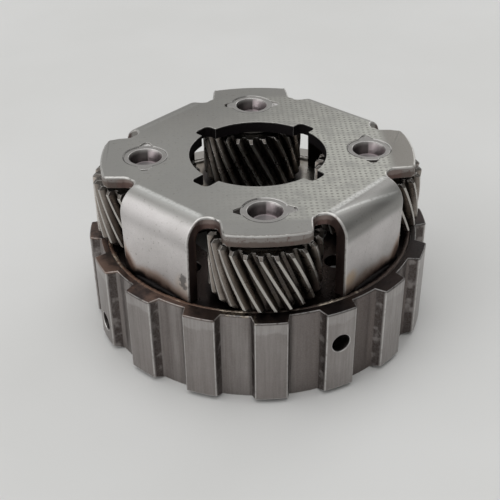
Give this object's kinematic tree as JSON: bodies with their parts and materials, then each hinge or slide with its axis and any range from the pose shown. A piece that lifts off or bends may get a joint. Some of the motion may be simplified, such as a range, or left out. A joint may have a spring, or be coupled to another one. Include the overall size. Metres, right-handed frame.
{
  "type": "planet carrier with planet gears",
  "caption": "Planet carrier with helical planet gears on staked pins between a pressed cage and a base plate, welded into a splined clutch hub.",
  "frame": {"origin": "on the main axis, at the lower rim of the clutch hub", "axes": "+Z along the main axis from the hub to the cage, -Y to the front planet pin"},
  "size_m": [0.1, 0.1, 0.051],
  "materials": {
    "cage_steel": "satin pressed sheet",
    "base_steel": "satin",
    "hub_steel": "satin machined",
    "weld": "dark weld scale",
    "gear_steel": "ground hardened teeth",
    "pin_steel": "ground",
    "washer_steel": "satin",
    "bronze": "plain bronze"
  },
  "bodies": {
    "carrier": {"carrier_cage": "cage_steel", "base_plate": "base_steel", "clutch_hub": "hub_steel", "hub_weld": "weld", "leg_weld_1": "weld", "leg_weld_2": "weld", "leg_weld_3": "weld", "leg_weld_4": "weld", "planet_pin_1": "pin_steel", "planet_pin_2": "pin_steel", "planet_pin_3": "pin_steel", "planet_pin_4": "pin_steel", "steel_washer_upper_1": "washer_steel", "steel_washer_upper_2": "washer_steel", "steel_washer_upper_3": "washer_steel", "steel_washer_upper_4": "washer_steel", "steel_washer_lower_1": "washer_steel", "steel_washer_lower_2": "washer_steel", "steel_washer_lower_3": "washer_steel", "steel_washer_lower_4": "washer_steel", "bronze_washer_upper_1": "bronze", "bronze_washer_upper_2": "bronze", "bronze_washer_upper_3": "bronze", "bronze_washer_upper_4": "bronze", "bronze_washer_lower_1": "bronze", "bronze_washer_lower_2": "bronze", "bronze_washer_lower_3": "bronze", "bronze_washer_lower_4": "bronze"},
    "planet_1": {"planet_gear_1": "gear_steel"},
    "planet_2": {"planet_gear_2": "gear_steel"},
    "planet_3": {"planet_gear_3": "gear_steel"},
    "planet_4": {"planet_gear_4": "gear_steel"},
    "rollers_1": {"needle_rollers_1": "pin_steel"},
    "rollers_2": {"needle_rollers_2": "pin_steel"},
    "rollers_3": {"needle_rollers_3": "pin_steel"},
    "rollers_4": {"needle_rollers_4": "pin_steel"}
  },
  "joints": [
    {"name": "planet_spin_1", "type": "hinge", "parent": "carrier", "child": "planet_1", "pos_m": [0, -0.032, 0.0371], "axis": [0, 0, 1], "continuous": true},
    {"name": "planet_spin_2", "type": "hinge", "parent": "carrier", "child": "planet_2", "pos_m": [0.032, 0, 0.0371], "axis": [0, 0, 1], "continuous": true},
    {"name": "planet_spin_3", "type": "hinge", "parent": "carrier", "child": "planet_3", "pos_m": [0, 0.032, 0.0371], "axis": [0, 0, 1], "continuous": true},
    {"name": "planet_spin_4", "type": "hinge", "parent": "carrier", "child": "planet_4", "pos_m": [-0.032, 0, 0.0371], "axis": [0, 0, 1], "continuous": true},
    {"name": "roller_orbit_1", "type": "hinge", "parent": "carrier", "child": "rollers_1", "pos_m": [0, -0.032, 0.0371], "axis": [0, 0, 1], "continuous": true},
    {"name": "roller_orbit_2", "type": "hinge", "parent": "carrier", "child": "rollers_2", "pos_m": [0.032, 0, 0.0371], "axis": [0, 0, 1], "continuous": true},
    {"name": "roller_orbit_3", "type": "hinge", "parent": "carrier", "child": "rollers_3", "pos_m": [0, 0.032, 0.0371], "axis": [0, 0, 1], "continuous": true},
    {"name": "roller_orbit_4", "type": "hinge", "parent": "carrier", "child": "rollers_4", "pos_m": [-0.032, 0, 0.0371], "axis": [0, 0, 1], "continuous": true}
  ],
  "couplings": [
    {"joint": "roller_orbit_1", "follows": "planet_spin_1", "ratio": 0.5716},
    {"joint": "roller_orbit_2", "follows": "planet_spin_2", "ratio": 0.5716},
    {"joint": "roller_orbit_3", "follows": "planet_spin_3", "ratio": 0.5716},
    {"joint": "roller_orbit_4", "follows": "planet_spin_4", "ratio": 0.5716}
  ]
}
